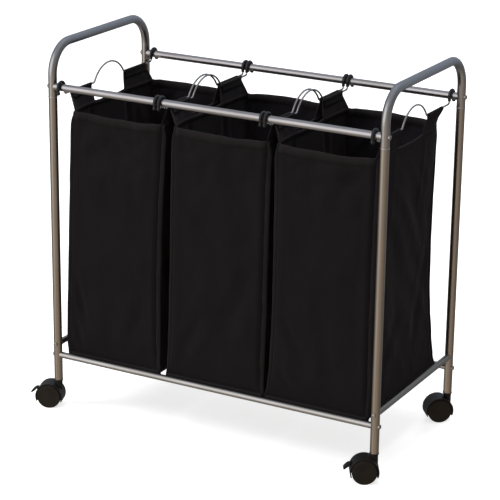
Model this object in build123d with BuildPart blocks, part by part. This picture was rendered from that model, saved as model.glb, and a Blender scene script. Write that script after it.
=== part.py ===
from build123d import *
from math import atan2, cos, degrees, radians, sin
import os

# Rolling laundry cart: a knock-down steel tube frame on four twin-wheel swivel
# casters, carrying three tall fabric bags. Each bag hangs from two bent wires
# whose sleeved ends hook over the top rails.
# Millimetres, +Z up, +X along the long side, -Y the front.
# The origin is on the floor, under the middle of the frame.

# Frame
frame_dx = 395.0           # leg axis from the middle, along X
frame_dy = 189.0           # leg axis from the middle, along Y
leg_r = 9.5                # 19 mm tube
tube_wall = 1.2
leg_bottom = 65.5
seam_z = 722.0             # where each hoop plugs into its legs
hoop_top_z = 834.0         # axis of the hoop's top bar
hoop_bend = 65.0
plug_length = 35.0
top_rail_r = 8.0           # 16 mm tube
top_rail_z = 745.0
low_rail_r = 7.0           # 14 mm tube
low_rail_z = 125.5
side_rail_z = 152.0
slip = 0.05                # gap around a plugged or pressed piece

# Screws and the threaded plugs in the rail ends
shank_r = 2.5
head_r = 5.0
head_rise = 3.2
shank_reach = 20.0         # past the inner face of the leg
plug_reach = 26.0

# Casters
wheel_r = 27.0
wheel_in = 6.2             # inner face of a wheel from the caster's mid plane
wheel_out = 20.0
hood_in_r = 28.5
hood_out_r = 31.0
hood_half = 19.0
hood_end = 22.0            # how far the hood reaches below the axle, in degrees
web_half = 2.5
trail = 20.0               # axle from the swivel axis
axle_r = 3.0
stem_r = 4.0
stem_bottom = 51.0
stem_top = 97.0
neck_r = 8.5
neck_top = 62.5
foot_z = 63.0              # underside of the leg socket
socket_top = 106.0
flange_r = 10.2
running = 0.05             # radial clearance of a turning shaft
yaw = {"front_left": 20.0, "front_right": 30.0, "rear_left": 26.0, "rear_right": 38.0}
corner = {
    "front_left": (-frame_dx, -frame_dy),
    "front_right": (frame_dx, -frame_dy),
    "rear_left": (-frame_dx, frame_dy),
    "rear_right": (frame_dx, frame_dy),
}

# Brake lever, measured from the axle in the plane of the wheel
pivot = (-16.5, 9.5)
pivot_r = 1.5
lever_exit = (-27.5, 13.5)
ear_in = 2.7
ear_out = 4.9

# Bags
bag_pitch = 252.0
wire_dx = 121.0            # wire from the middle of its bag
wire_r = 2.0
wire_z = 729.0
cloth = 2.0
bag_sections = [           # height, half width, half depth, corner radius
    (132.0, 119.0, 178.0, 8.0),
    (300.0, 116.0, 176.5, 14.0),
    (500.0, 114.5, 173.5, 14.0),
    (690.0, 114.5, 169.5, 12.0),
]
rim_z = 690.0
tab_foot = 141.0           # outer end of a side tab at the rim
tab_head = 151.0           # outer end of a side tab at the wire
cutout = 65.0              # half length of the hand cut-out
pocket_r = 4.2             # cloth pocket round the wire
pocket_bore = 2.35
board_thick = 2.5
board_lift = 0.3

# Wire hooks
hook_r = 11.8              # wire axis from the rail axis
hook_sleeve_r = 3.5
hook_tip_z = 733.0
hook_foot_z = 735.0
tip_ball_r = 4.4
wire_bend = 6.0
arch_turn = 58.0           # how steeply the handle arch leaves the straight run


def save(part, name):
    part.label = name
    export_step(part, f"parts/{name}.step")


def along(centre, direction):
    """A place whose Z axis points along direction."""
    return Plane(origin=centre, z_dir=direction).location


def upright(wire, x):
    """A wire drawn flat as (depth, height), stood up in the plane at x."""
    return wire.moved(Plane.YZ.offset(x).location)


# ---------------------------------------------------------------- frame tubes

def leg(x, y):
    with BuildPart() as tube:
        with BuildSketch(Plane.XY.offset(leg_bottom)):
            with Locations((x, y)):
                Circle(leg_r)
                Circle(leg_r - tube_wall, mode=Mode.SUBTRACT)
        extrude(amount=seam_z - leg_bottom)
        chamfer(tube.edges().group_by(Axis.Z)[-1].sort_by(SortBy.RADIUS)[-1], 0.5)
        with Locations(along((x, y, low_rail_z), (1, 0, 0))):
            Cylinder(shank_r + 0.2, 3 * leg_r, mode=Mode.SUBTRACT)
        with Locations(along((x, y, side_rail_z), (0, 1, 0))):
            Cylinder(shank_r + 0.2, 3 * leg_r, mode=Mode.SUBTRACT)
    return tube.part


def hoop(x):
    """Inverted U: two uprights, two bends and the bar across the end."""
    with BuildLine() as path:
        up = Line((-frame_dy, seam_z), (-frame_dy, hoop_top_z - hoop_bend))
        bend = JernArc(up @ 1, up % 1, hoop_bend, -90)
        bar = Line(bend @ 1, (frame_dy - hoop_bend, hoop_top_z))
        back = JernArc(bar @ 1, bar % 1, hoop_bend, -90)
        Line(back @ 1, (frame_dy, seam_z))
    with BuildPart() as tube:
        with BuildSketch(Plane((x, -frame_dy, seam_z))):
            Circle(leg_r)
            Circle(leg_r - tube_wall, mode=Mode.SUBTRACT)
        sweep(path=upright(path.wires()[0], x))
        bore_r = leg_r - 2 * tube_wall - slip
        for y in (-frame_dy, frame_dy):
            with BuildSketch(Plane((x, y, seam_z))):
                Circle(leg_r)
                Circle(bore_r, mode=Mode.SUBTRACT)
            extrude(amount=3)
            with BuildSketch(Plane((x, y, seam_z))):
                Circle(leg_r - tube_wall - slip)
                Circle(bore_r, mode=Mode.SUBTRACT)
            extrude(amount=-plug_length)
            with Locations(along((x, y, top_rail_z), (1, 0, 0))):
                Cylinder(shank_r + 0.2, 3 * leg_r, mode=Mode.SUBTRACT)
    return tube.part


def rail(radius, middle, direction, half):
    """Tube between two legs, its ends coped to sit against them."""
    with BuildPart() as tube:
        with Locations(along(middle, direction)):
            Cylinder(radius, 2 * half)
            Cylinder(radius - tube_wall, 2 * half, mode=Mode.SUBTRACT)
        for sign in (-1, 1):
            end = Vector(*middle) + Vector(*direction) * (sign * half)
            with Locations(end):
                Cylinder(leg_r + slip, 4 * leg_r, mode=Mode.SUBTRACT)
    return tube.part


def end_plugs(radius, places, direction, half):
    """Threaded plugs pressed into both ends of the rails of one kind."""
    with BuildPart() as plugs:
        for middle in places:
            for sign in (-1, 1):
                toward = Vector(*direction) * sign
                end = Vector(*middle) + toward * half
                centre = end - toward * (plug_reach / 2)
                with Locations(along(centre, direction)):
                    Cylinder(radius - tube_wall - slip, plug_reach)
                    Cylinder(shank_r + slip, plug_reach, mode=Mode.SUBTRACT)
                with Locations(end):
                    Cylinder(leg_r + slip, 4 * leg_r, mode=Mode.SUBTRACT)
    return plugs.part


def screws(places, direction, half):
    """Dome-head screws driven through the legs into the plugs."""
    with BuildPart() as group:
        for middle in places:
            for sign in (-1, 1):
                toward = Vector(*direction) * sign
                axis_point = Vector(*middle) + toward * half
                crown = axis_point + toward * (leg_r + head_rise)
                with Locations(along(crown, -toward)):
                    Cylinder(head_r, head_rise + 2, align=(Align.CENTER, Align.CENTER, Align.MIN))
                top = group.edges().filter_by(GeomType.CIRCLE)
                fillet(top.sort_by_distance(crown)[0], 2.4)
                with Locations(axis_point):
                    Cylinder(leg_r + slip, 4 * leg_r, mode=Mode.SUBTRACT)
                length = head_rise - 1.8 + leg_r + shank_reach
                with Locations(along(crown - toward * 1.8, -toward)):
                    Cylinder(shank_r, length, align=(Align.CENTER, Align.CENTER, Align.MIN))
                with BuildSketch(Plane(origin=crown, z_dir=toward)):
                    RegularPolygon(1.9, 6)
                extrude(amount=-1.8, mode=Mode.SUBTRACT)
    return group.part


def sockets():
    """Plastic plugs in the leg feet that take the caster stems."""
    with BuildPart() as group:
        with Locations(*[(x, y, foot_z) for x, y in corner.values()]):
            Cylinder(flange_r, 2.5, align=(Align.CENTER, Align.CENTER, Align.MIN))
        with Locations(*[(x, y, leg_bottom) for x, y in corner.values()]):
            Cylinder(leg_r - tube_wall - slip, socket_top - leg_bottom,
                     align=(Align.CENTER, Align.CENTER, Align.MIN))
        with Locations(*[(x, y, foot_z) for x, y in corner.values()]):
            Cylinder(stem_r + running, stem_top + 1 - foot_z,
                     align=(Align.CENTER, Align.CENTER, Align.MIN), mode=Mode.SUBTRACT)
        feet = group.faces().filter_by(Axis.Z).group_by(Axis.Z)[0].edges()
        chamfer(feet.filter_by(lambda e: e.radius > stem_r + 1), 0.6)
    return group.part


# -------------------------------------------------------------------- casters
# Drawn with the swivel axis at the origin, the axle behind it along -X and
# the axle running along Y.

def lever_slope():
    return degrees(atan2(lever_exit[1] - pivot[1], lever_exit[0] - pivot[0]))


def caster_housing(braked):
    centre = (-trail, wheel_r)
    with BuildPart() as body:
        with BuildSketch(Plane.XZ):
            with Locations(centre):
                Circle(hood_out_r)
                Circle(hood_in_r, mode=Mode.SUBTRACT)
                far = 3 * wheel_r
                low = radians(hood_end)
                right = (far * cos(low), -far * sin(low))
                left = (-far * cos(low), -far * sin(low))
                Polygon((0, 0), left, (-far, -far), (far, -far), right,
                        align=None, mode=Mode.SUBTRACT)
        extrude(amount=hood_half, both=True)
        with Locations((0, 0, neck_top)):
            Cylinder(neck_r, neck_top - 33.0, align=(Align.CENTER, Align.CENTER, Align.MAX))
        with Locations(along((-trail, 0, wheel_r), (0, 1, 0))):
            Cylinder(hood_in_r, 4 * hood_half, mode=Mode.SUBTRACT)
        with BuildSketch(Plane.XZ):
            with Locations(centre):
                Circle(hood_in_r + 0.5)
                with Locations((0, -wheel_r - 7)):
                    Rectangle(4 * wheel_r, 2 * wheel_r, mode=Mode.SUBTRACT)
                Circle(axle_r + 3.5)
        extrude(amount=web_half, both=True)
        with Locations(along((-trail, 0, wheel_r), (0, 1, 0))):
            Cylinder(axle_r + 3.5, 2 * wheel_in - 0.6)
            Cylinder(axle_r + 0.02, 4 * wheel_in, mode=Mode.SUBTRACT)
        with Locations((0, 0, stem_bottom)):
            Cylinder(stem_r + 0.02, neck_top - stem_bottom,
                     align=(Align.CENTER, Align.CENTER, Align.MIN), mode=Mode.SUBTRACT)
        if braked:
            with BuildSketch(Plane.XZ):
                with Locations(centre):
                    Circle(hood_out_r + 3)
                    Circle(hood_in_r - 0.2, mode=Mode.SUBTRACT)
                    near, off = radians(144), radians(168)
                    Polygon((0, 0), (60 * cos(near), 60 * sin(near)), (60 * cos(off), 60 * sin(off)),
                            align=None, mode=Mode.INTERSECT)
            extrude(amount=ear_out + 0.5, both=True, mode=Mode.SUBTRACT)
            with Locations(along((pivot[0] - trail, 0, pivot[1] + wheel_r), (0, 1, 0))):
                Cylinder(pivot_r, 2 * wheel_in - 1.0)
    return body.part


def caster_stem():
    with BuildPart() as pin:
        with Locations((0, 0, stem_bottom)):
            Cylinder(stem_r, stem_top - stem_bottom, align=(Align.CENTER, Align.CENTER, Align.MIN))
        chamfer(pin.edges().group_by(Axis.Z)[-1], 1.2)
        with BuildSketch(Plane.XY.offset(stem_top - 9)):
            Circle(stem_r)
            Circle(stem_r - 0.6, mode=Mode.SUBTRACT)
        extrude(amount=1.6, mode=Mode.SUBTRACT)
    return pin.part


def caster_axle():
    with BuildPart() as pin:
        with Locations(along((-trail, 0, wheel_r), (0, 1, 0))):
            Cylinder(axle_r, 32.0)
        chamfer(pin.edges().filter_by(GeomType.CIRCLE), 0.5)
    return pin.part


def caster_wheel(side):
    """Cup-shaped wheel: full outer face, hub and rim on the inner side."""
    inner = side * wheel_in
    outward = side * (wheel_out - wheel_in)
    with BuildPart() as wheel:
        place = Plane(origin=(-trail, inner, wheel_r), z_dir=(0, side, 0))
        with BuildSketch(place):
            Circle(wheel_r)
        extrude(amount=wheel_out - wheel_in)
        rims = wheel.edges().filter_by(GeomType.CIRCLE).sort_by(Axis.Y)
        fillet(rims[-1] if side > 0 else rims[0], 2.2)
        chamfer(wheel.edges().filter_by(GeomType.CIRCLE).sort_by_distance((-trail, inner, 0))[0], 0.8)
        with BuildSketch(place):
            Circle(wheel_r - 4)
            Circle(axle_r + 4, mode=Mode.SUBTRACT)
        extrude(amount=abs(outward) - 4.5, mode=Mode.SUBTRACT)
        with BuildSketch(place):
            Circle(axle_r + running)
        extrude(amount=16.4 - wheel_in, mode=Mode.SUBTRACT)
    return wheel.part


def brake_lever():
    axle = Vector(-trail, 0, wheel_r)
    with BuildPart() as lever:
        with BuildSketch(Plane.XZ):
            with Locations((axle.X, axle.Z)):
                with Locations(pivot):
                    Circle(3.4)
                middle = ((pivot[0] + lever_exit[0]) / 2, (pivot[1] + lever_exit[1]) / 2)
                with Locations(Location((*middle, 0), (0, 0, lever_slope()))):
                    Rectangle(20.0, 5.4)
        extrude(amount=ear_out, both=True)
        with BuildSketch(Plane.XZ):
            with Locations((axle.X, axle.Z)):
                Circle(hood_out_r + 0.4)
        extrude(amount=ear_in, both=True, mode=Mode.SUBTRACT)
        with Locations(along((axle.X + pivot[0], 0, axle.Z + pivot[1]), (0, 1, 0))):
            Cylinder(pivot_r + running, 4 * ear_out, mode=Mode.SUBTRACT)
        with BuildSketch(Plane.XZ):
            with Locations((axle.X, axle.Z)):
                Polygon((-31.0, 16.0), (-34.0, 15.0), (-38.5, 11.8), (-42.3, 7.6), (-44.2, 4.2),
                        (-42.6, 2.8), (-38.6, 5.6), (-35.4, 8.0), (-32.6, 10.2), align=None)
        extrude(amount=8.0, both=True)
        fillet(lever.edges().filter_by(Axis.Y).sort_by(Axis.X)[0], 0.8)
    return lever.part


# ----------------------------------------------------------------------- bags

def bag_wire(x):
    """One bag wire from its front hook over the middle arch to its rear hook."""
    inside = frame_dy - hook_r
    with BuildLine() as line:
        tip = Line((-frame_dy - hook_r, hook_tip_z), (-frame_dy - hook_r, top_rail_z))
        over = JernArc(tip @ 1, tip % 1, hook_r, -180)
        drop = Line(over @ 1, (-inside, wire_z + wire_bend))
        turn = JernArc(drop @ 1, drop % 1, wire_bend, 90)
        run = Line(turn @ 1, (-cutout + 1, wire_z))
        rise = JernArc(run @ 1, run % 1, wire_bend, arch_turn)
        arch_r = -(rise @ 1).X / sin(radians(arch_turn))
        arch = JernArc(rise @ 1, rise % 1, arch_r, -2 * arch_turn)
        fall = JernArc(arch @ 1, arch % 1, wire_bend, arch_turn)
        back = Line(fall @ 1, (inside - wire_bend, wire_z))
        lift = JernArc(back @ 1, back % 1, wire_bend, 90)
        climb = Line(lift @ 1, (inside, top_rail_z))
        hook = JernArc(climb @ 1, climb % 1, hook_r, -180)
        Line(hook @ 1, (frame_dy + hook_r, hook_tip_z))
    path = upright(line.wires()[0], x)
    with BuildPart() as wire:
        with BuildSketch(Plane(origin=path @ 0, z_dir=path % 0)):
            Circle(wire_r)
        sweep(path=path)
    return wire.part


def hook_sleeves(bag_x):
    """Moulded covers on the four hooks of one bag, closed by a ball at the tip."""
    with BuildPart() as group:
        for x in (bag_x - wire_dx, bag_x + wire_dx):
            for sign in (-1, 1):
                tip = (x, sign * (frame_dy + hook_r), hook_tip_z)
                foot = (x, sign * (frame_dy - hook_r), hook_foot_z)
                with BuildLine() as path:
                    up = Line(tip, (tip[0], tip[1], top_rail_z))
                    over = ThreePointArc(up @ 1, (x, sign * frame_dy, top_rail_z + hook_r),
                                         (foot[0], foot[1], top_rail_z))
                    Line(over @ 1, foot)
                with BuildSketch(Plane(origin=tip, z_dir=(0, 0, 1))):
                    Circle(hook_sleeve_r)
                sweep(path=path.wires()[0])
                with Locations((tip[0], tip[1], hook_tip_z + 0.6)):
                    Sphere(tip_ball_r)
                with BuildSketch(Plane(origin=tip, z_dir=(0, 0, 1))):
                    Circle(wire_r + slip)
                sweep(path=path.wires()[0], mode=Mode.SUBTRACT)
    return group.part


def bag_shell(bag_x):
    with BuildPart() as shell:
        for z, hx, hy, r in bag_sections:
            with BuildSketch(Plane.XY.offset(z)):
                with Locations((bag_x, 0)):
                    RectangleRounded(2 * hx, 2 * hy, r)
        loft(ruled=True)
        for z, hx, hy, r in bag_sections:
            with BuildSketch(Plane.XY.offset(max(z, bag_sections[0][0] + cloth))):
                with Locations((bag_x, 0)):
                    RectangleRounded(2 * (hx - cloth), 2 * (hy - cloth), r - cloth)
        loft(ruled=True, mode=Mode.SUBTRACT)
        foot_x = bag_sections[-1][1] - cloth
        lean = atan2(wire_dx - foot_x - cloth / 2, wire_z - rim_z)
        height = (wire_z - rim_z) / cos(lean)
        for sign in (-1, 1):
            panel = Plane(origin=(bag_x + sign * foot_x, 0, rim_z), x_dir=(0, sign, 0),
                          z_dir=(sign * cos(lean), 0, -sin(lean)))
            with BuildSketch(panel):
                for end in (-1, 1):
                    Polygon((end * cutout, -4), (end * tab_foot, -4), (end * tab_head, height),
                            (end * cutout, height), align=None)
            extrude(amount=cloth)
            pocket = (tab_head - cutout) / 2
            for end in (-1, 1):
                middle = (bag_x + sign * wire_dx, end * (cutout + pocket), wire_z)
                with Locations(along(middle, (0, 1, 0))):
                    Cylinder(pocket_r, 2 * pocket)
            with Locations(along((bag_x + sign * wire_dx, 0, wire_z), (0, 1, 0))):
                Cylinder(pocket_bore, 2 * frame_dy, mode=Mode.SUBTRACT)
    return shell.part


def base_board(bag_x):
    """Stiff floor of the bag, small enough to drop in through its mouth."""
    mouth_x, mouth_y, mouth_r = bag_sections[-1][1:]
    with BuildPart() as board:
        with BuildSketch(Plane.XY.offset(bag_sections[0][0] + cloth + board_lift)):
            with Locations((bag_x, 0)):
                RectangleRounded(2 * (mouth_x - cloth - 1.5), 2 * (mouth_y - cloth - 1.5), mouth_r)
        extrude(amount=board_thick)
    return board.part


# ---------------------------------------------------------------------- build

os.makedirs("parts", exist_ok=True)

for name, (x, y) in corner.items():
    save(leg(x, y), f"leg_{name}")
save(hoop(-frame_dx), "hoop_left")
save(hoop(frame_dx), "hoop_right")

along_x = (1, 0, 0)
along_y = (0, 1, 0)
rail_sets = {
    "top_rail": (top_rail_r, along_x, frame_dx,
                 {"front": (0, -frame_dy, top_rail_z), "rear": (0, frame_dy, top_rail_z)}),
    "lower_rail": (low_rail_r, along_x, frame_dx,
                   {"front": (0, -frame_dy, low_rail_z), "rear": (0, frame_dy, low_rail_z)}),
    "side_rail": (low_rail_r, along_y, frame_dy,
                  {"left": (-frame_dx, 0, side_rail_z), "right": (frame_dx, 0, side_rail_z)}),
}
for kind, (radius, direction, half, places) in rail_sets.items():
    for side, middle in places.items():
        save(rail(radius, middle, direction, half), f"{kind}_{side}")
    save(end_plugs(radius, places.values(), direction, half), f"{kind}_plugs")
    save(screws(places.values(), direction, half), f"{kind}_screws")
save(sockets(), "caster_sockets")

for name, (x, y) in corner.items():
    braked = name.startswith("front")
    place = Location((x, y, 0), (0, 0, yaw[name]))
    save(caster_housing(braked).moved(place), f"caster_{name}_housing")
    save(caster_stem().moved(place), f"caster_{name}_stem")
    save(caster_axle().moved(place), f"caster_{name}_axle")
    save(caster_wheel(-1).moved(place), f"caster_{name}_wheel_a")
    save(caster_wheel(1).moved(place), f"caster_{name}_wheel_b")
    if braked:
        save(brake_lever().moved(place), f"caster_{name}_brake")

for side, bag_x in {"left": -bag_pitch, "middle": 0.0, "right": bag_pitch}.items():
    save(bag_shell(bag_x), f"bag_{side}_shell")
    save(base_board(bag_x), f"bag_{side}_base_board")
    save(bag_wire(bag_x - wire_dx), f"bag_{side}_wire_left")
    save(bag_wire(bag_x + wire_dx), f"bag_{side}_wire_right")
    save(hook_sleeves(bag_x), f"bag_{side}_hooks")
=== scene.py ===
"""Looks for the laundry cart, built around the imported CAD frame. Metres, +Z up, -Y the front."""

import math

import bpy
from mathutils import Matrix, Vector, noise


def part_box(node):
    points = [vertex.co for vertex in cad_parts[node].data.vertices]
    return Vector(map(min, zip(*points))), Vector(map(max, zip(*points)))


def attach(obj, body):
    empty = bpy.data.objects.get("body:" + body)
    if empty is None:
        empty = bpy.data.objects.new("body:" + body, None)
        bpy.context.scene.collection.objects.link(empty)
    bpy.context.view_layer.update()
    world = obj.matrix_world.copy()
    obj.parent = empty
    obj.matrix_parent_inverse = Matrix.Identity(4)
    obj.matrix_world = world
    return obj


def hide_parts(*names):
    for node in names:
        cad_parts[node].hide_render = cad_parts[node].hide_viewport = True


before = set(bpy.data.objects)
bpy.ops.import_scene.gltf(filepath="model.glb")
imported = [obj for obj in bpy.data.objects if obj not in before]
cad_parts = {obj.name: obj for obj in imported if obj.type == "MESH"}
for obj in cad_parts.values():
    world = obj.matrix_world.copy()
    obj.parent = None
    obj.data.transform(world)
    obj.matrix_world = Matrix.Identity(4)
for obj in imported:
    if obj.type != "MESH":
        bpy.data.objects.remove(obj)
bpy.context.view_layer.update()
MM = 0.001

# ------------------------------------------------------------------ sizes, mm
BAGS = {"left": -252.0, "middle": 0.0, "right": 252.0}      # x of each bag's middle
FLOOR_Z = 132.0
EDGE_Z = 128.5              # the sewn bottom edge hangs a little lower than the floor
WALL_Z = EDGE_Z + 1.5       # the lowest row of the walls
RIM_Z = 690.0
CLOTH = 1.2                 # thickness of the cloth
WIRE_DX = 121.0             # how far each wire is from its bag's middle, along x
WIRE_Z = 729.0
HEMS = {"front": 17.0, "rear": 17.0, "right": 9.0, "left": 9.0}     # depth of the hem on each panel
SIDES = ((1, "right"), (-1, "left"))        # which way along x each side panel faces

# The cloth's mesh: rows up a wall, columns across a front or rear panel, and columns across each end
# and the middle of a side panel
BODY_ROWS = 110
FRONT_N = 56
SIDE_END_N = 18
SIDE_MID_N = 20

# The tabs at the front (-1) and rear (1) end of a side panel
CUT = {-1: -0.40, 1: 0.36}          # where the hand cut-out ends, from -1 at the front seam to 1 at the rear
TAB_FOOT = {-1: 73.0, 1: 65.0}      # how far from the bag's middle a tab starts on its wire
TAB_HEAD = 150.5                    # and where both end
SLIPPED = {("right", 1, 1): 11.0}   # bag, side and end of a tab that has bunched up along its wire
RISE, OVER, FLAP = 8, 9, 4          # rows of a tab up to the wire, over it, and down inside
LOOP_R = 3.6                        # outside of the pocket round the wire
LOOP_TURN = math.radians(175)       # how far the pocket goes round the wire
FLAP_STEP = 4.0                     # height of one row of the flap
FLAP_GAP = 2.9                      # from the tab to its flap, at the flap's foot

# Where the four seams of each bag run: x and y from the bag's centre at each of these heights
SEAM_Z = (132.0, 150.0, 200.0, 300.0, 415.0, 530.0, 620.0, 668.0, 692.0)
FRONT_Y = (-178.0, -177.5, -176.5, -175.5, -174.0, -172.5, -170.5, -169.0, -167.5)
REAR_Y = (174.0, 174.0, 172.0, 169.0, 167.0, 166.0, 165.0, 164.0, 162.0)
REAR_RIGHT_Y = (172.5, 171.0, 167.0, 163.0, 161.0, 161.0, 159.0, 158.0, 155.0)
SEAM_X = {
    "left": {
        "front_left": (-117.0, -119.0, -117.0, -113.5, -110.0, -106.5, -104.0, -103.0, -100.5),
        "front_right": (114.5, 111.5, 108.5, 108.0, 109.5, 113.5, 117.5, 120.0, 119.0),
        "rear_right": (114.0, 111.0, 106.0, 102.0, 101.0, 102.0, 104.0, 106.0, 106.0),
        "rear_left": (-116.0, -117.0, -114.0, -109.0, -106.0, -106.0, -108.0, -110.0, -110.0),
    },
    "middle": {
        "front_left": (-114.0, -110.0, -105.0, -103.0, -101.5, -101.0, -100.0, -99.5, -98.5),
        "front_right": (121.2, 117.8, 115.0, 117.5, 118.0, 119.0, 120.0, 121.5, 120.0),
        "rear_right": (115.0, 112.0, 107.0, 103.0, 102.0, 103.0, 104.0, 105.0, 105.0),
        "rear_left": (-115.0, -114.0, -110.0, -107.0, -106.0, -107.0, -109.0, -111.0, -111.0),
    },
    "right": {
        "front_left": (-121.2, -114.0, -107.0, -103.0, -102.0, -102.5, -103.5, -105.5, -104.5),
        "front_right": (117.0, 116.5, 116.0, 115.0, 114.5, 115.0, 116.0, 117.0, 115.0),
        "rear_right": (113.5, 108.0, 102.0, 96.0, 94.5, 95.5, 98.0, 99.5, 100.5),
        "rear_left": (-115.0, -114.0, -110.0, -107.0, -106.0, -107.0, -109.0, -111.0, -111.0),
    },
}


# ------------------------------------------------------------------ materials
class Shader:
    """A Principled material with short ways to add the nodes that feed it."""

    def __init__(self, name, **sockets):
        self.mat = bpy.data.materials.new(name)
        self.mat.use_nodes = True
        self.tree = self.mat.node_tree
        self.bsdf = self.tree.nodes["Principled BSDF"]
        for key, value in sockets.items():
            self.bsdf.inputs[key.replace("_", " ")].default_value = value
        self.coords = self.tree.nodes.new("ShaderNodeTexCoord").outputs["Object"]

    def node(self, kind, **settings):
        made = self.tree.nodes.new(kind)
        for key, value in settings.items():
            setattr(made, key, value)
        return made

    def link(self, a, b):
        self.tree.links.new(a, b)

    def scaled(self, x, y, z):
        """The object's own coordinates, stretched along each axis."""
        mapping = self.node("ShaderNodeMapping")
        mapping.inputs["Scale"].default_value = (x, y, z)
        self.link(self.coords, mapping.inputs["Vector"])
        return mapping.outputs["Vector"]

    def noise(self, vector, scale, detail=3.0, rough=0.5):
        made = self.node("ShaderNodeTexNoise")
        made.inputs["Scale"].default_value = scale
        made.inputs["Detail"].default_value = detail
        made.inputs["Roughness"].default_value = rough
        self.link(vector, made.inputs["Vector"])
        return made.outputs["Fac"]

    def math(self, operation, a, b=0.0):
        made = self.node("ShaderNodeMath", operation=operation)
        for socket, value in zip(made.inputs, (a, b)):
            if isinstance(value, (int, float)):
                socket.default_value = value
            else:
                self.link(value, socket)
        return made.outputs[0]

    def axes(self):
        made = self.node("ShaderNodeSeparateXYZ")
        self.link(self.coords, made.inputs[0])
        return made.outputs

    def spread(self, value, low, high, to_low=0.0, to_high=1.0):
        """A value from low to high, carried over to the range from to_low to to_high."""
        made = self.node("ShaderNodeMapRange")
        ends = {"From Min": low, "From Max": high, "To Min": to_low, "To Max": to_high}
        for key, number in ends.items():
            made.inputs[key].default_value = number
        self.link(value, made.inputs["Value"])
        return made.outputs["Result"]

    def mix(self, factor, a, b):
        """From colour a to colour b. Each is a tuple or an output."""
        made = self.node("ShaderNodeMix", data_type="RGBA")
        self.link(factor, made.inputs["Factor"])
        for socket, value in ((made.inputs[6], a), (made.inputs[7], b)):
            if isinstance(value, tuple):
                socket.default_value = (*value, 1.0)
            else:
                self.link(value, socket)
        return made.outputs[2]

    def color(self, value):
        self.link(value, self.bsdf.inputs["Base Color"])

    def roughness(self, value):
        self.link(value, self.bsdf.inputs["Roughness"])

    def bump(self, height, distance, strength):
        """Relief from a height. distance is how deep it is, in metres."""
        made = self.node("ShaderNodeBump")
        made.inputs["Strength"].default_value = strength
        made.inputs["Distance"].default_value = distance
        self.link(height, made.inputs["Height"])
        self.link(made.outputs["Normal"], self.bsdf.inputs["Normal"])


def tube_metal(name, along, low, high, span=(0.10, 0.80)):
    """Satin plated tube with lines drawn along one axis, tinted from low to high over a span of heights; the
    tint is painted reflection.
    """
    fine, coarse = 900.0, 12.0
    dull, bright = (0.40, 0.37, 0.34), (0.66, 0.64, 0.62)
    s = Shader(name, Metallic=1.0)
    lines = s.noise(s.scaled(*[coarse if axis == along else fine for axis in "XYZ"]), 1.0, 2.0)
    cloud = s.noise(s.coords, 9.0, 4.0, 0.6)
    tone = s.mix(s.spread(s.axes()["Z"], *span), low, high)
    tone = s.mix(s.spread(cloud, 0.35, 0.7, 0.0, 0.35), tone, dull)
    s.color(s.mix(s.spread(lines, 0.35, 0.65, 0.0, 0.25), tone, bright))
    s.roughness(s.math("ADD", s.spread(cloud, 0.3, 0.7, 0.27, 0.37), s.spread(lines, 0.3, 0.7, -0.03, 0.03)))
    s.bump(lines, 0.00006, 0.5)
    return s.mat


def cloth_material(name, dark, light, pitch=0.0015):
    """Black woven polyester: a basket weave in relief, slubs, and a faint dusty sheen."""
    s = Shader(name, Sheen_Weight=0.045, Sheen_Roughness=0.45, IOR=1.45)
    s.bsdf.inputs["Sheen Tint"].default_value = (0.82, 0.72, 0.74, 1.0)
    s.bsdf.inputs["Specular IOR Level"].default_value = 0.25
    x, y, z = s.axes()
    turn = 2 * math.pi / pitch
    across = s.math("SINE", s.math("MULTIPLY", s.math("ADD", x, y), turn))
    up = s.math("SINE", s.math("MULTIPLY", z, turn))
    weave = s.math("MULTIPLY", across, up)
    slub = s.noise(s.scaled(700.0, 700.0, 60.0), 1.0, 2.0)
    fuzz = s.noise(s.coords, 1400.0, 2.0)
    cloud = s.noise(s.coords, 9.0, 5.0, 0.6)
    relief = s.math("ADD", s.math("MULTIPLY", weave, 0.5), s.math("MULTIPLY", slub, 0.35))
    shade = s.math("ADD", s.spread(weave, -1.0, 1.0, 0.0, 0.4), s.spread(cloud, 0.32, 0.68, -0.05, 0.65))
    tone = s.mix(shade, dark, light)
    s.color(s.mix(s.spread(fuzz, 0.62, 0.8, 0.0, 0.35), tone, tuple(1.8 * v for v in light)))
    s.roughness(s.spread(cloud, 0.3, 0.7, 0.72, 0.88))
    s.bump(relief, 0.0004, 0.6)
    return s.mat


def moulded(name, dark, light, rough, gloss=0.5):
    """Moulded plastic with a fine spark-eroded grain and slightly uneven gloss."""
    s = Shader(name)
    s.bsdf.inputs["Specular IOR Level"].default_value = gloss
    fine = s.noise(s.coords, 2600.0, 2.0)
    cloud = s.noise(s.coords, 45.0, 3.0)
    s.color(s.mix(s.spread(cloud, 0.3, 0.7), dark, light))
    s.roughness(s.spread(cloud, 0.3, 0.7, rough - 0.05, rough + 0.07))
    s.bump(fine, 0.00008, 0.35)
    return s.mat


def bright_wire(name):
    """Bright plated wire with fine lines drawn along it."""
    s = Shader(name, Metallic=1.0)
    lines = s.noise(s.scaled(1500.0, 40.0, 1500.0), 1.0, 2.0)
    s.color(s.mix(s.spread(lines, 0.3, 0.7), (0.58, 0.58, 0.59), (0.72, 0.72, 0.73)))
    s.roughness(s.spread(lines, 0.3, 0.7, 0.13, 0.24))
    s.bump(lines, 0.00003, 0.4)
    return s.mat


def pin_metal(name):
    """Plated steel of the screws, stems and axles, a little uneven."""
    s = Shader(name, Metallic=1.0)
    cloud = s.noise(s.coords, 300.0, 3.0)
    s.color(s.mix(s.spread(cloud, 0.3, 0.7), (0.46, 0.44, 0.41), (0.60, 0.59, 0.57)))
    s.roughness(s.spread(cloud, 0.3, 0.7, 0.26, 0.42))
    return s.mat


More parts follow.
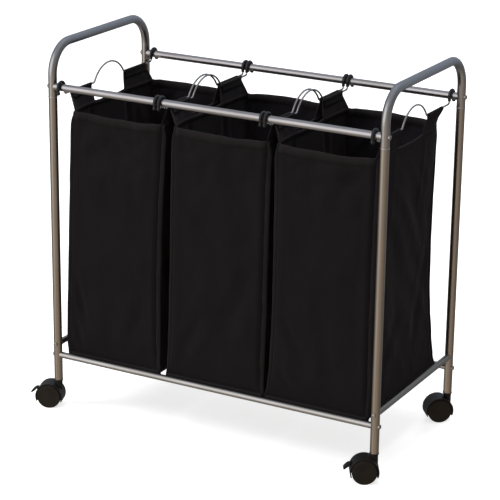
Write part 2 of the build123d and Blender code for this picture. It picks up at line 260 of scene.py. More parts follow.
CLOTH_MAT = cloth_material("bag_cloth_weave", (0.0040, 0.0033, 0.0042), (0.0089, 0.0073, 0.0092))
# Painted sheen: tapes and hems are lighter than the cloth, for the light that the tape's smoother face
# catches.
BINDING_MAT = cloth_material("binding_tape", (0.0095, 0.0077, 0.0087), (0.0180, 0.0152, 0.0168), 0.0011)
# Black thread, darker than the cloth; beside the corner seams its rows also paint the shade in the groove
# there.
THREAD_MAT = moulded("stitch_thread", (0.0020, 0.0020, 0.0020), (0.0045, 0.0045, 0.0045), 0.7, gloss=0.2)
# Painted reflection: the top rails are a touch bluish, for the light above that they reflect.
LONG_RAIL_MAT = tube_metal("satin_long_rail", "X", (0.560, 0.550, 0.550), (0.560, 0.548, 0.580))
# Painted shade: the side rails are a darker copy of the same steel, for the less light they reflect.
SIDE_RAIL_MAT = tube_metal("satin_side_rail", "Y", (0.380, 0.365, 0.335), (0.380, 0.365, 0.335))
# Painted reflection: the legs are tinted warm, most at the foot, for the warm floor they reflect.
LEG_MAT = tube_metal("satin_leg", "Z", (0.510, 0.430, 0.345), (0.540, 0.480, 0.425))
# Painted reflection: the hoops go from warm at their feet, for the floor they reflect, to bluish at the top,
# for the light above.
HOOP_MAT = tube_metal("satin_hoop", "Z", (0.545, 0.490, 0.440), (0.520, 0.555, 0.620), (0.70, 0.82))
HOOK_MAT = moulded("hook_plastic", (0.008, 0.009, 0.010), (0.014, 0.015, 0.017), 0.30)
HOOD_MAT = moulded("hood_plastic", (0.0060, 0.0060, 0.0060), (0.0105, 0.0104, 0.0102), 0.42, gloss=0.38)
WHEEL_MAT = moulded("wheel_nylon", (0.0130, 0.0095, 0.0070), (0.0220, 0.0170, 0.0130), 0.50, gloss=0.25)
BOARD_MAT = cloth_material("board_cover", (0.012, 0.010, 0.011), (0.020, 0.017, 0.019), 0.0018)
WIRE_MAT = bright_wire("bright_wire")
PIN_MAT = pin_metal("plated_pin")
# Painted highlight: a lighter copy of the tube steel that paints the bright ring at the top of each leg.
LIP_HIGHLIGHT_MAT = tube_metal("lip_painted_highlight", "Z", (0.800, 0.785, 0.760), (0.800, 0.785, 0.760))


def material_for(node):
    """The material of a CAD node, or nothing for a node that keeps its own."""
    if node.endswith(("screws", "stem", "axle")):
        return PIN_MAT
    if node.endswith(("plugs", "sockets", "housing", "brake")):
        return HOOD_MAT
    if "wheel" in node:
        return WHEEL_MAT
    if node.endswith("hooks"):
        return HOOK_MAT
    if "wire" in node:
        return WIRE_MAT
    if node.endswith("board"):
        return BOARD_MAT
    if node.startswith(("top_rail", "lower_rail")):
        return LONG_RAIL_MAT
    if node.startswith("side_rail"):
        return SIDE_RAIL_MAT
    if node.startswith("leg"):
        return LEG_MAT
    if node.startswith("hoop"):
        return HOOP_MAT
    return None


for node_name, node_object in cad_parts.items():
    looks = material_for(node_name)
    if looks:
        for place in node_object.material_slots:
            place.material = looks


# --------------------------------------------------------------- mesh helpers
OVAL_SIDES = 10


def make_object(name, points, faces, material, body, slot):
    """A smooth-shaded mesh from points in mm, riding on a body of the frame."""
    mesh = bpy.data.meshes.new(name)
    mesh.from_pydata([tuple(c * MM for c in p) for p in points], [], faces)
    mesh.validate()
    for face in mesh.polygons:
        face.use_smooth = True
    made = bpy.data.objects.new(name, mesh)
    bpy.context.collection.objects.link(made)
    made.data.materials.append(material)
    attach(made, body)
    return made


def grid_faces(rows, closed):
    """Quads between rows of point numbers."""
    faces = []
    for low, high in zip(rows, rows[1:]):
        for j in range(len(low) if closed else len(low) - 1):
            k = (j + 1) % len(low)
            faces.append((low[j], low[k], high[k], high[j]))
    return faces


def number_rows(rings, count):
    """Numbers of the points in each ring, for rings of count points laid one after another."""
    return [list(range(i * count, (i + 1) * count)) for i in range(rings)]


def capped_tube(rings, count):
    """Faces of a tube of rings, closed at both ends."""
    rows = number_rows(rings, count)
    return grid_faces(rows, closed=True) + [tuple(reversed(rows[0])), tuple(rows[-1])]


def swept(path, frames, section, closed=False):
    """Points and faces of a section carried along a path. frames gives each point's two section axes."""
    points = []
    for centre, (side, up) in zip(path, frames):
        points += [centre + side * a + up * b for a, b in section]
    if closed:
        rows = number_rows(len(path), len(section))
        return points, grid_faces(rows + rows[:1], closed=True)
    return points, capped_tube(len(path), len(section))


def oval(width, depth):
    """Points of an ellipse with these half sizes."""
    angles = [2 * math.pi * i / OVAL_SIDES for i in range(OVAL_SIDES)]
    return [(width * math.cos(a), depth * math.sin(a)) for a in angles]


def join(parts):
    """One list of points and one of faces from several pairs of them."""
    points, faces = [], []
    for some_points, some_faces in parts:
        start = len(points)
        points += some_points
        faces += [tuple(start + i for i in face) for face in some_faces]
    return points, faces


def smooth(t):
    """0 below t = 0, 1 above t = 1, and an even S between."""
    t = min(max(t, 0.0), 1.0)
    return t * t * (3 - 2 * t)


def hump(x, width):
    """A bell of height 1 about x = 0."""
    return math.exp(-((x / width) ** 2))


def wander(x, y, z):
    """Smooth noise about 0 that is the same each run."""
    return noise.noise(Vector((x, y, z)))


# ------------------------------------------------------------- the bag's form
CORNERS = ("front_left", "front_right", "rear_right", "rear_left")
PANELS = {"front": (0, 1), "right": (1, 2), "rear": (2, 3), "left": (3, 0)}


def along_heights(values, z):
    """A smooth value at height z, read from a list given at the seam heights."""
    z = min(max(z, SEAM_Z[0]), SEAM_Z[-1])
    for i in range(len(SEAM_Z) - 1):
        if z <= SEAM_Z[i + 1]:
            t = (z - SEAM_Z[i]) / (SEAM_Z[i + 1] - SEAM_Z[i])
            t = 0.5 * t + 0.5 * smooth(t)
            return values[i] + (values[i + 1] - values[i]) * t
    return values[-1]


def corner_at(bag, index, z):
    """The (x, y) of a corner seam at height z, with a slight waver above the bottom."""
    name = CORNERS[index]
    depth = FRONT_Y if name.startswith("front") else REAR_Y
    if name == "rear_right":
        depth = REAR_RIGHT_Y
    waver = 0.7 * wander(z / 60, 17.0 * index, 5.0 * list(BAGS).index(bag))
    hold = smooth((z - FLOOR_Z) / 60)
    return Vector((along_heights(SEAM_X[bag][name], z) + waver * hold, along_heights(depth, z)))


def seed_of(bag, panel, by_bag, by_panel):
    """A place in the noise that differs from panel to panel and bag to bag."""
    return by_bag * list(BAGS).index(bag) + by_panel * list(PANELS).index(panel)


def side_shares():
    """Positions along a side panel from 0 to 1, front to back, with the cut-out's edges among them."""
    a, b = (1 + CUT[-1]) / 2, (1 + CUT[1]) / 2
    front = [a * i / SIDE_END_N for i in range(SIDE_END_N)]
    middle = [a + (b - a) * i / SIDE_MID_N for i in range(SIDE_MID_N)]
    return front + middle + [b + (1 - b) * i / SIDE_END_N for i in range(SIDE_END_N)]


def columns():
    """The outline as (panel, share) pairs, anticlockwise from the front left. Seams are at share 0.

    Columns stand closer together beside the seams of the front and rear panels.
    """
    steps = [i / FRONT_N for i in range(FRONT_N)]
    crowded = [0.5 * step + 0.25 * (1 - math.cos(math.pi * step)) for step in steps]
    forward = side_shares()
    backward = [1 - share for share in reversed(forward + [1.0])][:-1]
    shares = {"front": crowded, "right": forward, "rear": crowded, "left": backward}
    return [(panel, share) for panel in PANELS for share in shares[panel]]


def panel_columns(around, panel):
    """Numbers of a panel's columns, with the seam that ends it."""
    found = [j for j, column in enumerate(around) if column[0] == panel]
    return found + [(found[-1] + 1) % len(around)]


def along_side(panel, share):
    """-1 at the front seam of a side panel, 1 at the rear one."""
    across = 2 * share - 1
    return across if panel == "right" else -across


def tab_columns(around, panel, end):
    """The columns under the tab at one end of a side panel, as (number, place along the side)."""
    found = []
    for j in panel_columns(around, panel):
        along = along_side(panel, around[j][1] if around[j][0] == panel else 1.0)
        if along * end >= abs(CUT[end]) - 1e-6:
            found.append((j, along))
    return found


def outline_point(bag, panel, share, z):
    """The undisturbed (x, y) of a column, and its panel's outward direction and width."""
    a, b = (corner_at(bag, index, z) for index in PANELS[panel])
    run = (b - a).normalized()
    out = Vector((run.y, -run.x))
    return a + (b - a) * share, out, (b - a).length


# Creases pressed into the cloth: bag, panel, start, end, width and depth. A start or end is a place
# across the panel, from -1 at one seam to 1 at the next, and a height
CREASES = [
    ("left", "front", (-0.97, 345.0), (-0.60, 205.0), 9.0, 2.6),
    ("left", "front", (-0.99, 255.0), (-0.66, 140.0), 8.0, 2.6),
    ("left", "front", (-0.20, 640.0), (0.55, 520.0), 20.0, 1.6),
    ("left", "front", (0.30, 150.0), (0.85, 330.0), 16.0, 1.4),
    ("middle", "front", (-0.90, 560.0), (-0.25, 470.0), 18.0, 1.4),
    ("middle", "front", (0.15, 240.0), (0.80, 420.0), 20.0, 1.6),
    ("middle", "front", (-0.80, 170.0), (-0.30, 290.0), 14.0, 1.6),
    ("right", "front", (-0.95, 330.0), (-0.35, 230.0), 11.0, 2.4),
    ("right", "front", (-0.95, 210.0), (-0.40, 137.0), 9.0, 2.4),
    ("right", "front", (-0.10, 390.0), (0.25, 190.0), 16.0, 1.6),
    ("right", "front", (0.20, 600.0), (0.85, 660.0), 16.0, 1.6),
    ("right", "right", (-0.80, 180.0), (-0.10, 320.0), 18.0, 1.8),
    ("right", "right", (-0.20, 620.0), (0.55, 500.0), 20.0, 1.8),
    ("right", "right", (0.30, 200.0), (0.90, 420.0), 16.0, 1.6),
    ("left", "left", (-0.50, 220.0), (0.35, 360.0), 18.0, 1.8),
    ("left", "rear", (-0.80, 200.0), (0.10, 330.0), 16.0, 1.6),
    ("middle", "rear", (-0.30, 180.0), (0.70, 300.0), 16.0, 1.8),
    ("right", "rear", (0.10, 220.0), (0.85, 360.0), 16.0, 1.6),
]


def crease_depth(bag, panel, across, z, half):
    """How far the creases push the cloth out, or in where negative."""
    total = 0.0
    for which, where, start, end, width, depth in CREASES:
        if which != bag or where != panel:
            continue
        a, b = Vector((start[0] * half, start[1])), Vector((end[0] * half, end[1]))
        here = Vector((across, z))
        t = min(max((here - a).dot(b - a) / (b - a).length_squared, 0.0), 1.0)
        gap = (here - a - (b - a) * t).length
        fade = math.sin(math.pi * t) ** 0.5 if 0 < t < 1 else 0.0
        crest = hump(gap - 1.8 * width, width)
        total += 1.5 * depth * fade * (0.45 * crest - hump(gap, width))
    return total


# How far each panel steps out beside its seams
SEAM_STEP = {"front": 3.9, "right": 2.3, "rear": 2.3, "left": 2.3}


def beside_seam(panel, edge, z):
    """How far the cloth stands out at a distance from its seam. High up, the rear corners have grooves."""
    stand = SEAM_STEP[panel] * (1 - math.exp(-edge / 3.4)) + hump(edge - 12, 7)
    if panel == "rear":
        stand -= 6.0 * smooth((z - 420) / 120) * hump(edge - 11, 6)
    return stand


def puff(bag, panel, share, z, length):
    """How far the cloth stands out from the flat panel between two seams.

    Each swell is its height in mm times noise with its own wavelengths in mm. They fade out towards the
    seams (hold), the bottom (low) and the rim (high), where small gathers take over.
    """
    seed = seed_of(bag, panel, 13.0, 5.0)
    half = length / 2
    across = (2 * share - 1) * half
    edge = half - abs(across)
    hold = smooth(edge / 40.0)
    low = smooth((z - FLOOR_Z) / 60.0)
    high = smooth((RIM_Z + 4 - z) / 40.0)
    belly = 2.2 * math.sin(share * math.pi) * math.sin(math.pi * min(1.0, (z - FLOOR_Z) / 700.0))
    broad = 4.4 * wander(across / 95, z / 150, seed)
    slant = across * (0.8 if panel in ("front", "left") else -0.8)
    folds = 3.6 * wander((across + z * 0.5) / 62, (z - slant) / 95, seed + 3)
    upper = 3.6 * smooth((z - 500) / 120) * wander((across + z * 0.9) / 48, (z - slant) / 44, seed + 5)
    small = 0.7 * wander(across / 14, z / 26, seed + 7)
    swell = belly + broad + folds + upper + small + crease_depth(bag, panel, across, z, half)
    gathers = 1.6 * (1 - high) * wander(across / 17, 3.0, seed + 11)
    return low * beside_seam(panel, edge, z) + low * hold * (0.25 + 0.75 * high) * swell + hold * gathers


# How far the front and rear rims dip at the middle, and how much they wave. The rear ones arch
RIM_SAG = {"front": (3.8, 2.6), "rear": (-4.5, 2.2)}
CUT_DIP = 3.5               # how far the edge of a hand cut-out dips


def rim_height(bag, panel, share):
    """The height of the top edge, which bends and waves a little between its corners."""
    top = RIM_Z + 1.0
    if panel in RIM_SAG:
        across = 2 * share - 1
        sag, sway = RIM_SAG[panel]
        wave = sway * wander(across * 2.3, seed_of(bag, panel, 31.0, 9.0), 0.5)
        return top - sag * (1 - across ** 2) + wave * (1 - across ** 4)
    middle, half = (CUT[-1] + CUT[1]) / 2, (CUT[1] - CUT[-1]) / 2
    inside = (along_side(panel, share) - middle) / half
    if abs(inside) < 1:
        return top - CUT_DIP * (1 - inside ** 2) ** 0.5
    return top


# Folds below the tabs of a side panel: place along it, width as a share of it, and depth in mm
FOLDS = ((-0.47, 0.045, 3.4), (0.43, 0.045, 4.6), (0.62, 0.05, -1.8))
FOLD_SPREAD = 0.00012       # how fast they draw apart on the way down, per mm
FOLD_SHARE = {"left": 1.0, "right": 0.3}    # how strong they are on each side


def hanging_fold(panel, along, z):
    """How far a side panel stands out in the folds that hang below the inner ends of its tabs."""
    total = 0.0
    for where, width, depth in FOLDS:
        drift = where + FOLD_SPREAD * (RIM_Z - z) * (1 if where > 0 else -1)
        total += depth * hump(along - drift, width)
    return total * FOLD_SHARE[panel] * smooth((RIM_Z - z) / 28) * smooth((z - 440) / 160)


def body_point(bag, column, t):
    """A point on the bag's wall. t runs from 0 at the floor's edge to 1 at the rim."""
    panel, share = column
    z = WALL_Z + (rim_height(bag, panel, share) - WALL_Z) * t
    flat, out, length = outline_point(bag, panel, share, z)
    flat = flat + out * puff(bag, panel, share, z, length)
    if panel in ("left", "right"):
        # towards the top a side panel is drawn in under its wire
        under_wire = math.copysign(WIRE_DX - 2.5, flat.x)
        pull = smooth((z - 500) / 170) * (1 - abs(2 * share - 1) ** 5)
        flat.x += (under_wire - flat.x) * pull * 0.9
        flat.x += math.copysign(hanging_fold(panel, along_side(panel, share), z), flat.x)
    return Vector((flat.x, flat.y, z))


def tab_point(bag, rim, sign, along, k):
    """Row k of a tab above a rim point: up to the wire, over it, and a flap down inside.

    The tab and its wire are on the side of the bag that sign tells.
    """
    end = 1 if along > 0 else -1
    cut = abs(CUT[end])
    outer = (abs(along) - cut) / (1 - cut)
    reach = TAB_HEAD - TAB_FOOT[end] - SLIPPED.get((bag, sign, end), 0.0)
    target_y = end * (TAB_FOOT[end] + reach * outer)
    foot = Vector((sign * rim.x, rim.z))
    centre = Vector((WIRE_DX, WIRE_Z))
    away = foot - centre
    turn = math.acos(LOOP_R / away.length)
    touch = math.atan2(away.y, away.x) + turn
    head = centre + LOOP_R * Vector((math.cos(touch), math.sin(touch)))
    lean = (head - foot).normalized()
    inner = Vector((-lean.y, lean.x))
    if k < RISE:
        t = (k + 1) / RISE
        flat = foot + (head - foot) * t
        flat += inner * 1.3 * math.sin(math.pi * t) * wander(rim.y / 24, flat.y / 30, 4.0 * sign)
        y = rim.y + (target_y - rim.y) * t
    else:
        y = target_y
        if k < RISE + OVER:
            angle = touch + LOOP_TURN * (k - RISE + 1) / OVER
            flat = centre + LOOP_R * Vector((math.cos(angle), math.sin(angle)))
        else:
            drop = FLAP_STEP * (k - RISE - OVER + 1)
            gap = FLAP_GAP + LOOP_R * math.exp(-drop / FLAP_STEP)
            flat = head - lean * drop + inner * gap
    return Vector((sign * flat.x, y, flat.y))


def bag_walls(bag, around):
    """Rows of points from the bottom edge to the rim, round the whole bag."""
    shares = [i / BODY_ROWS for i in range(BODY_ROWS + 1)]
    return [[body_point(bag, column, t) for column in around] for t in shares]


# Rings of the floor's mesh, from its middle out: distance in from the edge, and height above EDGE_Z
FLOOR_RINGS = ((100, 3.5), (82, 3.4), (64, 3.6), (46, 3.4), (28, 3.5), (14, 3.1), (7, 2.2), (3, 0.9),
               (1, 0.2))
FLOOR_HALF = (116, 176)     # about half the floor's width and depth


def floor_ring(edge, inset, height):
    """The bag's bottom edge drawn in towards the middle, with slight dents away from the edge."""
    ring = []
    for low in edge:
        x = low.x * (1 - inset / FLOOR_HALF[0])
        y = low.y * (1 - inset / FLOOR_HALF[1])
        dent = 0.5 * wander(x / 40, y / 40, 2.0) if inset > 10 else 0.0
        ring.append(Vector((x, y, EDGE_Z + height + dent)))
    return ring


def bag_cloth(bag, around, walls):
    """One continuous shell: floor, walls and the four tabs that wrap the wires."""
    centre = Vector((BAGS[bag], 0, 0))
    rings = [floor_ring(walls[0], inset, height) for inset, height in FLOOR_RINGS] + walls
    count = len(around)
    points = [centre + p for ring in rings for p in ring]
    rows = number_rows(len(rings), count)
    faces = grid_faces(rows, closed=True)
    points.append(centre + Vector((0, 0, FLOOR_Z)))
    faces += [(len(points) - 1, (j + 1) % count, j) for j in range(count)]
    for sign, panel in SIDES:
        for end in CUT:
            chosen = tab_columns(around, panel, end)
            tab = [[rows[-1][j] for j, _ in chosen]]
            for k in range(RISE + OVER + FLAP):
                tab.append(list(range(len(points), len(points) + len(chosen))))
                points += [centre + tab_point(bag, walls[-1][j], sign, along, k) for j, along in chosen]
            faces += grid_faces(tab, closed=False)
    cloth = make_object(f"bag_{bag}_cloth", points, faces, CLOTH_MAT, f"bag_{bag}", "bag_cloth")
    thick = cloth.modifiers.new("thickness", "SOLIDIFY")
    thick.thickness = CLOTH * MM
    thick.offset = -1.0
    thick.use_even_offset = False
    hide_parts(f"bag_{bag}_shell")


def path_frames(path, outs):
    """Section axes (outward, and across the path) for each point."""
    found = []
    for i, out in enumerate(outs):
        ahead = (path[min(i + 1, len(path) - 1)] - path[max(i - 1, 0)]).normalized()
        across = ahead.cross(out).normalized()
        found.append((across.cross(ahead).normalized(), across))
    return found


# Stitches: from one to the next, their length, how thick the thread is, how far from its middle a stitch
# is fullest as a share of its length, and how far its ends and its middle stand off the cloth
STITCH_STEP, STITCH_LENGTH, THREAD_R = 4.4, 2.9, 0.42
STITCH_FULL = 0.22
STITCH_END, STITCH_STAND = 0.1, 0.25


def stitch(where, ahead, out):
    """One stitch: a short diamond-section bead that tapers to both ends."""
    across = ahead.cross(out).normalized()
    ring = [across * THREAD_R, out * THREAD_R * 1.3, -across * THREAD_R, -out * THREAD_R * 0.4]
    points = [where - ahead * STITCH_LENGTH / 2 + out * STITCH_END]
    for way in (-1, 1):
        shift = ahead * STITCH_LENGTH * STITCH_FULL * way
        points += [where + shift + v + out * STITCH_STAND for v in ring]
    points.append(where + ahead * STITCH_LENGTH / 2 + out * STITCH_END)
    faces = []
    for j in range(4):
        k = (j + 1) % 4
        faces += [(0, 1 + k, 1 + j), (1 + j, 1 + k, 5 + k, 5 + j), (9, 5 + j, 5 + k)]
    return points, faces


def stitch_row(path, outs):
    """Stitches at even steps along a line on the cloth."""
    parts, travelled, due = [], 0.0, STITCH_STEP / 2
    for a, b, out in zip(path, path[1:], outs):
        step = (b - a).length
        while due <= travelled + step and step > 0:
            where = a + (b - a) * ((due - travelled) / step)
            parts.append(stitch(where, (b - a).normalized(), out))
            due += STITCH_STEP
        travelled += step
    return parts


def outward(bag, column, z):
    """The outward direction of a column's panel, level."""
    out = outline_point(bag, *column, z)[1]
    return Vector((out.x, out.y, 0))


# Which way each corner's bound seam stands out along x and y, and how wide it is
SEAM_FIN = {"front_left": (-0.97, -0.24, 8.5), "front_right": (0.92, 0.38, 10.5),
            "rear_right": (0.50, 0.86, 7.0), "rear_left": (-0.80, 0.60, 7.0)}
FIN_DROP = 2.4              # a bound seam ends this far below the lowest row of the wall
FIN_SIDES = 12
SEAM_STITCH = 3             # columns from a seam to the stitch line on each side of it


def corner_seams(bag, around, walls):
    """The seam allowance of each corner, bound in tape and standing out as a narrow fin."""
    centre = Vector((BAGS[bag], 0, 0))
    seams = [j for j, (_, share) in enumerate(around) if share == 0]
    parts, thread = [], []
    for index, j in enumerate(seams):
        way_x, way_y, full = SEAM_FIN[CORNERS[index]]
        way = Vector((way_x, way_y, 0)).normalized()
        face = Vector((-way.y, way.x, 0))
        points = []
        rows = range(0, BODY_ROWS + 1, 2)
        for i in rows:
            root = centre + walls[i][j] - Vector((0, 0, 0 if i else FIN_DROP))
            z = root.z
            # narrower towards the bottom and just below the rim
            at_foot = 0.62 + 0.38 * smooth((z - FLOOR_Z) / 70)
            at_rim = 0.55 + 0.45 * smooth((RIM_Z - z) / 30)
            width = full * at_foot * at_rim
            sway = 0.9 * wander(z / 38, 7.0 * index, BAGS[bag]) * smooth((z - FLOOR_Z) / 60)
            mid = root + way * (width / 2 - 0.8) + face * sway
            for k in range(FIN_SIDES):
                a = 2 * math.pi * k / FIN_SIDES
                wide, thick = math.cos(a), math.sin(a)
                half_thick = 1.15 + 0.35 * wide
                points.append(mid + way * wide * width / 2 + face * thick * half_thick)
        parts.append((points, capped_tube(len(rows), FIN_SIDES)))
        for step in (SEAM_STITCH, -SEAM_STITCH):
            near = (j + step) % len(around)
            path = [centre + walls[i][near] for i in range(3, BODY_ROWS - 2)]
            outs = [outward(bag, around[near], p.z) for p in path]
            thread += stitch_row(path, outs)
    return parts, thread


# Half sizes of a tape's section: out from the cloth, and across the tape
FOOT_TAPE = (1.3, 3.6)
TAB_TAPE = (1.3, 2.6)


def bottom_seam(bag, around, walls):
    """The tape round the bottom edge, and the stitch line above it."""
    centre = Vector((BAGS[bag], 0, 0))
    outs = [outward(bag, column, FLOOR_Z) for column in around]
    ring = [centre + low + out * 0.4 + Vector((0, 0, 0.6)) for low, out in zip(walls[0], outs)]
    frames = [(out, Vector((0, 0, 1))) for out in outs]
    parts = [swept(ring, frames, oval(*FOOT_TAPE), closed=True)]
    lifted = [centre + walls[2][j] + out * 0.1 for j, out in enumerate(outs)]
    return parts, stitch_row(lifted + lifted[:1], outs + outs[:1])


HEM_STAND = 0.7             # how far a hem's fold stands off the cloth, outside and inside
HEM_STITCH = 2.5            # from a hem's lower edge up to its stitch line


def rim_hem(bag, around, walls, panel, depth):
    """The folded edge along one panel's top, and its stitch line."""
    centre = Vector((BAGS[bag], 0, 0))
    chosen = panel_columns(around, panel)
    outside, inside = HEM_STAND, -CLOTH - HEM_STAND
    section = [(outside, -depth), (outside, 0.1), (0.1, 0.9), (-CLOTH - 0.1, 0.9), (inside, 0.1),
               (inside, -depth), (-CLOTH + 0.15, -depth - 0.3), (-0.15, -depth - 0.3)]
    points, seam = [], []
    step = (RIM_Z - EDGE_Z) / BODY_ROWS     # about the height of one row
    way = outward(bag, (panel, 0.5), RIM_Z)
    for j in chosen:
        top = walls[-1][j]
        for out, up in section:
            down = min(max(-up / step, 0.0), BODY_ROWS - 1.0)
            i = int(down)
            wall = walls[-1 - i][j].lerp(walls[-2 - i][j], down - i)
            points.append(centre + Vector((wall.x, wall.y, top.z + up)) + way * out)
        row = walls[-1 - round((depth - HEM_STITCH) / step)][j]
        seam.append(centre + row + way * HEM_STAND)
    faces = capped_tube(len(chosen), len(section))
    return [(points, faces)], stitch_row(seam, [way] * len(seam))


POCKET_ROW = RISE - 3       # the row of a tab that the stitching of its pocket follows


def tab_trim(bag, around, walls, sign, panel):
    """Tapes up both edges of each tab, and the stitching that closes the wire's pocket."""
    centre = Vector((BAGS[bag], 0, 0))
    parts, thread = [], []
    out = Vector((sign, 0, 0))
    for end in CUT:
        chosen = tab_columns(around, panel, end)
        for j, along in (chosen[0], chosen[-1]):
            path = [centre + walls[-2][j], centre + walls[-1][j]]
            path += [centre + tab_point(bag, walls[-1][j], sign, along, k) for k in range(RISE)]
            path = [p - out * CLOTH / 2 for p in path]
            parts.append(swept(path, path_frames(path, [out] * len(path)), oval(*TAB_TAPE)))
        row = [tab_point(bag, walls[-1][j], sign, along, POCKET_ROW) for j, along in chosen]
        path = [centre + p + out * 0.1 for p in row]
        thread += stitch_row(path, [out] * len(path))
    return parts, thread


def bag_trim(bag, around, walls):
    """All the binding of a bag as one piece, and all its stitching as another."""
    pairs = [corner_seams(bag, around, walls), bottom_seam(bag, around, walls)]
    pairs += [rim_hem(bag, around, walls, panel, depth) for panel, depth in HEMS.items()]
    pairs += [tab_trim(bag, around, walls, sign, panel) for sign, panel in SIDES]
    binding = [part for parts, _ in pairs for part in parts]
    thread = [part for _, parts in pairs for part in parts]
    make_object(f"bag_{bag}_binding", *join(binding), BINDING_MAT, f"bag_{bag}", "bag_cloth")
    make_object(f"bag_{bag}_stitching", *join(thread), THREAD_MAT, f"bag_{bag}", "bag_cloth")


outline = columns()
for bag_name in BAGS:
    wall_rows = bag_walls(bag_name, outline)
    bag_cloth(bag_name, outline, wall_rows)
    bag_trim(bag_name, outline, wall_rows)


# ---------------------------------------------------------- lips on the legs
# Section of the lip, as radius and height
LIP = ((9.52, -1.5), (9.95, -0.9), (10.1, 0.0), (9.95, 0.9), (9.52, 1.5))
LIP_STEPS = 48


def leg_lip(leg):
    """The raised lip at the top of a leg, where the hoop plugs in, in a lighter metal that paints its
    highlight.
    """
    low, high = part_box(leg)
    x, y = ((low[i] + high[i]) / 2 / MM for i in range(2))
    top = high[2] / MM
    points, faces = [], []
    count = len(LIP)
    for i in range(LIP_STEPS):
        a = 2 * math.pi * i / LIP_STEPS
        points += [Vector((x + r * math.cos(a), y + r * math.sin(a), top + h)) for r, h in LIP]
        here, there = i * count, ((i + 1) % LIP_STEPS) * count
        for j in range(count):
            k = (j + 1) % count
            faces.append((here + j, there + j, there + k, here + k))
    make_object(f"{leg}_seam_bead", points, faces, LIP_HIGHLIGHT_MAT, "frame", "tube_steel")


for node_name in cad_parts:
    if node_name.startswith("leg_"):
        leg_lip(node_name)


# --------------------------------------------------------------- stage, light
FLOOR_GLOW = 0.72           # keeps the floor pale where little light falls
BACKDROP = 1.1              # the camera's background, a little over white


def stage_floor():
    """A pale floor that shows a soft shadow and doesn't brighten the object from below."""
    half = 14.0
    corners = [(-half, -half, 0), (half, -half, 0), (half, half, 0), (-half, half, 0)]
    mesh = bpy.data.meshes.new("floor")
    mesh.from_pydata(corners, [], [(0, 1, 2, 3)])
    floor = bpy.data.objects.new("floor", mesh)
    bpy.context.collection.objects.link(floor)
    s = Shader("pale_floor", Roughness=0.9)
    s.bsdf.inputs["Specular IOR Level"].default_value = 0.1
    s.bsdf.inputs["Emission Color"].default_value = (1.0, 1.0, 1.0, 1.0)
    s.bsdf.inputs["Emission Strength"].default_value = FLOOR_GLOW
    grain = s.noise(s.coords, 2.0, 3.0)
    s.color(s.mix(s.spread(grain, 0.3, 0.7), (0.62, 0.62, 0.62), (0.64, 0.64, 0.64)))
    mesh.materials.append(s.mat)
    floor.visible_glossy = False
    floor.visible_diffuse = False


# Lamps: name, place, the height they aim at over the origin, size, power and colour
LAMPS = [
    ("fill_rear", (-0.8, 4.2, 2.2), 0.45, (2.4, 2.0), 60, (1.0, 0.98, 0.96)),
    ("key_left", (-3.0, -2.4, 3.2), 0.45, (1.2, 1.2), 105, (1.0, 1.0, 1.0)),
    ("overhead", (0.1, -0.5, 3.9), 0.4, (2.4, 2.4), 135, (0.97, 0.98, 1.0)),
]


def area_light(name, location, target_z, size, power, color):
    """A soft lamp that reflections don't show."""
    data = bpy.data.lights.new(name, "AREA")
    data.shape = "RECTANGLE"
    data.size, data.size_y = size
    data.energy = power
    data.color = color
    lamp = bpy.data.objects.new(name, data)
    bpy.context.collection.objects.link(lamp)
    lamp.location = location
    aim = Vector((0, 0, target_z)) - Vector(location)
    lamp.rotation_euler = aim.to_track_quat("-Z", "Y").to_euler()
    lamp.visible_glossy = False


# Light of the room from all round, and its soft bright areas: direction, cosine of the angle at which
# one fades out, strength and colour
ROOM_LEVEL = (0.128, 0.120, 0.112)
ROOM = [
    ((-0.46, -0.85, 0.30), 0.68, 0.96, (0.99, 0.99, 1.00)),
    ((0.0, -0.2, 1.0), 0.30, 0.23, (0.93, 0.95, 1.00)),
    ((-0.2, 0.9, 0.45), 0.20, 0.25, (0.66, 0.80, 1.00)),
    ((-0.15, -0.75, -0.60), 0.10, 0.20, (1.00, 0.87, 0.70)),
    ((0.75, -0.45, -0.30), 0.30, 0.11, (1.00, 0.76, 0.55)),
]


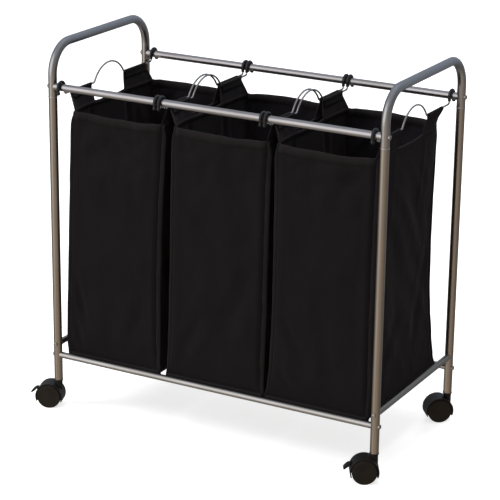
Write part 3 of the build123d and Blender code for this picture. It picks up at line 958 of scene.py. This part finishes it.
def studio():
    """White to the camera. To the object, a dim room with a large soft light at the front left, and lamps."""
    world = bpy.data.worlds.new("studio")
    bpy.context.scene.world = world
    world.use_nodes = True
    nodes, links = world.node_tree.nodes, world.node_tree.links
    nodes.clear()
    out = nodes.new("ShaderNodeOutputWorld")
    room = nodes.new("ShaderNodeBackground")
    direction = nodes.new("ShaderNodeTexCoord").outputs["Generated"]
    total = nodes.new("ShaderNodeRGB").outputs[0]
    total.default_value = (*ROOM_LEVEL, 1)
    for way, edge, strength, color in ROOM:
        dot = nodes.new("ShaderNodeVectorMath")
        dot.operation = "DOT_PRODUCT"
        links.new(direction, dot.inputs[0])
        dot.inputs[1].default_value = Vector(way).normalized()
        fall = nodes.new("ShaderNodeMapRange")
        fall.interpolation_type = "SMOOTHSTEP"
        fall.inputs["From Min"].default_value = edge
        fall.inputs["To Max"].default_value = strength
        links.new(dot.outputs["Value"], fall.inputs["Value"])
        add = nodes.new("ShaderNodeMix")
        add.data_type = "RGBA"
        add.blend_type = "ADD"
        links.new(fall.outputs["Result"], add.inputs["Factor"])
        links.new(total, add.inputs[6])
        add.inputs[7].default_value = (*color, 1)
        total = add.outputs[2]
    links.new(total, room.inputs["Color"])
    white = nodes.new("ShaderNodeBackground")
    white.inputs["Color"].default_value = (1, 1, 1, 1)
    white.inputs["Strength"].default_value = BACKDROP
    choose = nodes.new("ShaderNodeMixShader")
    path = nodes.new("ShaderNodeLightPath")
    links.new(path.outputs["Is Camera Ray"], choose.inputs[0])
    links.new(room.outputs[0], choose.inputs[1])
    links.new(white.outputs[0], choose.inputs[2])
    links.new(choose.outputs[0], out.inputs["Surface"])
    for lamp in LAMPS:
        area_light(*lamp)


# The camera: direction from the object to it and roll in degrees, place in metres, and lens in mm
CAMERA_TURNS = (28.79, 18.67, 0.71)
CAMERA_PLACE = (1.9741, -3.6098, 1.7768)
CAMERA_LENS = 142.24


def photo_camera():
    """A long lens from the front right, a little above the hoops."""
    azimuth, elevation, roll = (math.radians(v) for v in CAMERA_TURNS)
    back = Vector((math.sin(azimuth) * math.cos(elevation), -math.cos(azimuth) * math.cos(elevation),
                   math.sin(elevation)))
    right = Vector((math.cos(azimuth), math.sin(azimuth), 0))
    up = back.cross(right)
    x = right * math.cos(roll) + up * math.sin(roll)
    y = up * math.cos(roll) - right * math.sin(roll)
    data = bpy.data.cameras.new("camera")
    data.sensor_width = 36.0
    data.lens = CAMERA_LENS
    data.clip_end = 60.0
    camera = bpy.data.objects.new("camera", data)
    bpy.context.collection.objects.link(camera)
    turned = Matrix((x, y, back)).transposed().to_4x4()
    camera.matrix_world = Matrix.Translation(Vector(CAMERA_PLACE)) @ turned
    bpy.context.scene.camera = camera


stage_floor()
studio()
photo_camera()
bpy.context.scene.view_settings.view_transform = "Standard"
